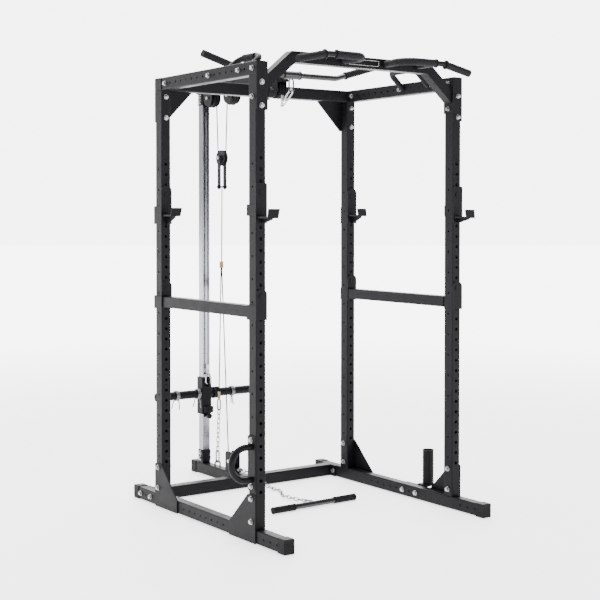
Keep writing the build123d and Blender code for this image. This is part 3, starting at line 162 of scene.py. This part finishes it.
def make_materials():
    return {
        "black_powder": surface("black_powder_coat", (0.0052, 0.0048, 0.0062), (0.0028, 0.0026, 0.0036),
                                0.44, 0.06, grain_size=0.0016, grain_height=0.00005, specular=0.10),
        "gloss_black": surface("gloss_black_enamel", (0.010, 0.010, 0.012), (0.006, 0.006, 0.007),
                               0.22, 0.05, tone_size=0.08, grain_size=0.004, grain_height=0.00002,
                               specular=0.4, coat=0.1),
        "chrome": surface("bright_chrome", (0.36, 0.36, 0.39), (0.15, 0.15, 0.18), 0.16, 0.06, metallic=1.0,
                          tone_size=0.03, grain_size=0.004, grain_height=0.00002, stretch=(1, 1, 0.12)),
        "zinc": surface("zinc_plating", (0.52, 0.52, 0.52), (0.30, 0.30, 0.31), 0.26, 0.10, metallic=1.0,
                        tone_size=0.01, grain_size=0.0015, grain_height=0.00003),
        "wire": surface("zinc_wire", (0.26, 0.26, 0.27), (0.10, 0.10, 0.11), 0.30, 0.10, metallic=1.0,
                        tone_size=0.006, grain_size=0.0015, grain_height=0.00003),
        "black_plastic": surface("moulded_plastic", (0.007, 0.007, 0.008), (0.004, 0.004, 0.005), 0.48, 0.08,
                                 tone_size=0.05, grain_size=0.0009, grain_height=0.00006, specular=0.10),
        "rubber": surface("foam_rubber", (0.007, 0.007, 0.008), (0.003, 0.003, 0.004), 0.72, 0.08,
                          tone_size=0.03, grain_size=0.0008, grain_height=0.00018, specular=0.12),
        "cable": surface("coated_cable", (0.006, 0.006, 0.007), (0.003, 0.003, 0.004), 0.60, 0.08,
                         tone_size=0.02, grain_size=0.0012, grain_height=0.00006, stretch=(1, 1, 0.3),
                         specular=0.04),
        "brass": surface("crimped_sleeve", (0.30, 0.23, 0.13), (0.16, 0.12, 0.07), 0.34, 0.10, metallic=1.0,
                         tone_size=0.01, grain_size=0.0015, grain_height=0.00004),
        "mark": surface("number_mark", (0.0014, 0.0014, 0.0016), (0.0008, 0.0008, 0.0010), 0.70, 0.06,
                        tone_size=0.004, grain_size=0.0008, grain_height=0.00002, specular=0.1),
        "plate_rim": surface("plate_rim_line", (0.50, 0.49, 0.46), (0.34, 0.33, 0.31), 0.45, 0.08,
                             tone_size=0.01, grain_size=0.0008, grain_height=0.00002),
    }


def dress_cad(materials):
    """Every CAD node takes the finish that the record names for it; chains and wire collars are duller."""
    for entry in frame["record"]["subparts"]:
        name = entry["node"]
        finish = materials[entry["material_slot"]]
        if any(word in name for word in WIRE_WORDS):
            finish = materials["wire"]
        node = NODES[name]
        node.data.materials.clear()
        node.data.materials.append(finish)


# ---- pieces ----
def add_piece(name, mesh, material):
    piece = bpy.data.objects.new(name, mesh)
    piece.data.materials.append(material)
    bpy.context.scene.collection.objects.link(piece)
    return piece


NUMBER_HEIGHT = 0.012
NUMBER_STEP = 0.100
FIRST_NUMBER_Z = 0.300
NUMBER_COUNT = 15
NUMBER_PROUD = 0.0003
# A font's size is larger than its digits are tall.
FONT_SIZE_PER_HEIGHT = 1.4
# The heights where a hook or a safety bar's plate hides the numbers.
HOOK_AND_SAFETY_HEIGHTS = [(0.98, 1.10), (1.38, 1.57)]


def number_marks(name, x, y, covered, material):
    """The painted hole numbers on the front of one post, as one thin mesh."""
    marks = bmesh.new()
    for index in range(NUMBER_COUNT):
        z = FIRST_NUMBER_Z + index * NUMBER_STEP
        if any(low < z < high for low, high in covered):
            continue
        curve = bpy.data.curves.new("digits", "FONT")
        curve.body = str(index + 1)
        curve.size = NUMBER_HEIGHT * FONT_SIZE_PER_HEIGHT
        curve.align_x = "CENTER"
        curve.align_y = "CENTER"
        curve.extrude = NUMBER_PROUD
        holder = bpy.data.objects.new("digits", curve)
        holder.location = place(x, y - POST_HALF_DEPTH, z)
        holder.rotation_euler = (math.radians(90), 0, 0)
        bpy.context.scene.collection.objects.link(holder)
        bpy.context.view_layer.update()
        mesh = bpy.data.meshes.new_from_object(holder.evaluated_get(bpy.context.evaluated_depsgraph_get()))
        mesh.transform(holder.matrix_world)
        marks.from_mesh(mesh)
        bpy.data.meshes.remove(mesh)
        bpy.data.objects.remove(holder)
        bpy.data.curves.remove(curve)
    mesh = bpy.data.meshes.new(name)
    marks.to_mesh(mesh)
    marks.free()
    piece = add_piece(name, mesh, material)
    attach(piece, "frame")


def add_numbers(material):
    for side, x in (("left", -POST_X), ("right", POST_X)):
        number_marks("numbers_front_" + side, x, -POST_Y, HOOK_AND_SAFETY_HEIGHTS, material)
        number_marks("numbers_rear_" + side, x, POST_Y, HOOK_AND_SAFETY_HEIGHTS, material)


RIM_INSET = 0.004
RIM_CORNER = 0.003
RIM_CORNER_STEPS = 6
RIM_LINE_RADIUS = 0.0007
RIM_PROUD = 0.0004


def add_plate_rim(material):
    """The thin pale line round the plain plate on the pull-up crossbar."""
    low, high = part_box("name_plate")
    half_x = (high[0] - low[0]) / 2 - RIM_INSET - RIM_CORNER
    half_z = (high[2] - low[2]) / 2 - RIM_INSET - RIM_CORNER
    middle = Vector(((low[0] + high[0]) / 2, low[1] - RIM_PROUD, (low[2] + high[2]) / 2))
    points = []
    for quarter, (across, up) in enumerate(((1, 1), (-1, 1), (-1, -1), (1, -1))):
        for step in range(RIM_CORNER_STEPS + 1):
            angle = math.radians(90 * (quarter + step / RIM_CORNER_STEPS))
            points.append(middle + Vector((across * half_x + RIM_CORNER * math.cos(angle), 0,
                                           up * half_z + RIM_CORNER * math.sin(angle))))
    curve = bpy.data.curves.new("rim", "CURVE")
    curve.dimensions = "3D"
    curve.bevel_depth = RIM_LINE_RADIUS
    curve.bevel_resolution = 2
    line = curve.splines.new("POLY")
    line.points.add(len(points) - 1)
    for point, spot in zip(line.points, points):
        point.co = (*spot, 1.0)
    line.use_cyclic_u = True
    holder = bpy.data.objects.new("rim", curve)
    bpy.context.scene.collection.objects.link(holder)
    bpy.context.view_layer.update()
    mesh = bpy.data.meshes.new_from_object(holder.evaluated_get(bpy.context.evaluated_depsgraph_get()))
    bpy.data.objects.remove(holder)
    bpy.data.curves.remove(curve)
    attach(add_piece("plate_rim", mesh, material), "frame")


CABLE_SIDES = 12
CABLE_STEPS = 24


def straight_cable(name, start, end, node, material):
    """A straight stretch of cable between a fixed end and a moving one."""
    low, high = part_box(node)
    radius = min(high[axis] - low[axis] for axis in range(3)) / 2
    along = end - start
    turn = along.to_track_quat("Z", "Y")
    shape = bmesh.new()
    rings = []
    for step in range(CABLE_STEPS + 1):
        centre = start + along * (step / CABLE_STEPS)
        ring = []
        for side in range(CABLE_SIDES):
            angle = 2 * math.pi * side / CABLE_SIDES
            spoke = Vector((radius * math.cos(angle), radius * math.sin(angle), 0))
            ring.append(shape.verts.new(centre + turn @ spoke))
        rings.append(ring)
    for ring, following in zip(rings, rings[1:]):
        for side in range(CABLE_SIDES):
            after = (side + 1) % CABLE_SIDES
            shape.faces.new((ring[side], ring[after], following[after], following[side]))
    shape.faces.new(list(reversed(rings[0])))
    shape.faces.new(rings[-1])
    mesh = bpy.data.meshes.new(name)
    shape.to_mesh(mesh)
    shape.free()
    for face in mesh.polygons:
        face.use_smooth = True
    piece = add_piece(name, mesh, material)
    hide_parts(node)
    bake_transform(piece)


def add_cables(material):
    low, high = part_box("lift_cable_run")
    x, y = (low[0] + high[0]) / 2, (low[1] + high[1]) / 2
    straight_cable("lift_cable", Vector((x, y, high[2])), Vector((x, y, low[2])), "lift_cable_run",
                   material)
    low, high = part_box("lat_cable_run")
    x, y = (low[0] + high[0]) / 2, (low[1] + high[1]) / 2
    straight_cable("lat_cable", Vector((x, y, high[2])), Vector((x, y, low[2])), "lat_cable_run",
                   material)
    low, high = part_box("row_cable_run")
    x, z = (low[0] + high[0]) / 2, (low[2] + high[2]) / 2
    straight_cable("row_cable", Vector((x, high[1], z)), Vector((x, low[1], z)), "row_cable_run",
                   material)


# ---- studio ----
def add_floor():
    """A pale floor with painted glow: it emits light that grows with distance, so that it runs into the wall
    of light without a line.
    """
    mesh = bpy.data.meshes.new("floor")
    half = FLOOR_SIZE / 2
    corners = [(-half, -half, 0), (half, -half, 0), (half, half, 0), (-half, half, 0)]
    mesh.from_pydata(corners, [], [(0, 1, 2, 3)])
    finish = surface("pale_floor", (0.93, 0.93, 0.93), (0.90, 0.90, 0.90), 0.60, 0.05, tone_size=1.5,
                     grain_size=0.01, grain_height=0.00002)
    tree = finish.node_tree
    spot = tree.nodes.new("ShaderNodeTexCoord")
    reach = tree.nodes.new("ShaderNodeVectorMath")
    reach.operation = "LENGTH"
    tree.links.new(spot.outputs["Object"], reach.inputs[0])
    glow = tree.nodes.new("ShaderNodeMapRange")
    glow.interpolation_type = "SMOOTHSTEP"
    glow.inputs["From Min"].default_value = FLOOR_GLOW_STARTS
    glow.inputs["From Max"].default_value = FLOOR_GLOW_ENDS
    glow.inputs["To Min"].default_value = FLOOR_GLOW_NEAR
    glow.inputs["To Max"].default_value = FLOOR_GLOW_FAR
    tree.links.new(reach.outputs["Value"], glow.inputs["Value"])
    shader = tree.nodes["Principled BSDF"]
    # Painted glow: the floor's own emission, which also lights the cage from below.
    shader.inputs["Emission Color"].default_value = (1.0, 1.0, 1.0, 1.0)
    tree.links.new(glow.outputs["Result"], shader.inputs["Emission Strength"])
    add_piece("floor", mesh, finish)


def add_light(name, spot, target, size, power):
    data = bpy.data.lights.new(name, "AREA")
    data.energy = power
    data.shape = "RECTANGLE"
    data.size, data.size_y = size
    light = bpy.data.objects.new(name, data)
    light.location = spot
    light.rotation_euler = (Vector(target) - Vector(spot)).to_track_quat("-Z", "Y").to_euler()
    bpy.context.scene.collection.objects.link(light)


def add_backdrop():
    """A bright wall of light behind the cage that fades to a dim room in front of it."""
    world = bpy.data.worlds.new("studio")
    world.use_nodes = True
    tree = world.node_tree
    direction = tree.nodes.new("ShaderNodeTexCoord")
    facing = tree.nodes.new("ShaderNodeVectorMath")
    facing.operation = "DOT_PRODUCT"
    facing.inputs[1].default_value = BACKDROP_AXIS
    tree.links.new(direction.outputs["Generated"], facing.inputs[0])
    fade = tree.nodes.new("ShaderNodeMapRange")
    fade.interpolation_type = "SMOOTHSTEP"
    fade.inputs["From Min"].default_value = BACKDROP_FADE_STARTS
    fade.inputs["From Max"].default_value = BACKDROP_FADE_ENDS
    fade.inputs["To Min"].default_value = ROOM_LIGHT
    fade.inputs["To Max"].default_value = BACKDROP_LIGHT
    tree.links.new(facing.outputs["Value"], fade.inputs["Value"])
    background = tree.nodes["Background"]
    background.inputs["Color"].default_value = (1.0, 1.0, 1.0, 1.0)
    tree.links.new(fade.outputs["Result"], background.inputs["Strength"])
    bpy.context.scene.world = world


def add_studio():
    add_floor()
    add_backdrop()
    add_light("left_key", spot=(-5.5, -1.5, 3.2), target=(0, 0, 1.1), size=(4.0, 3.5), power=150)
    add_light("front_fill", spot=(1.5, -6.0, 2.6), target=(0, 0, 1.0), size=(1.2, 3.0), power=40)
    add_light("top", spot=(0, 0.5, 5.5), target=(0, 0, 0), size=(5.0, 5.0), power=700)


add_camera()
materials = make_materials()
dress_cad(materials)
add_numbers(materials["mark"])
add_plate_rim(materials["plate_rim"])
add_cables(materials["cable"])
add_studio()
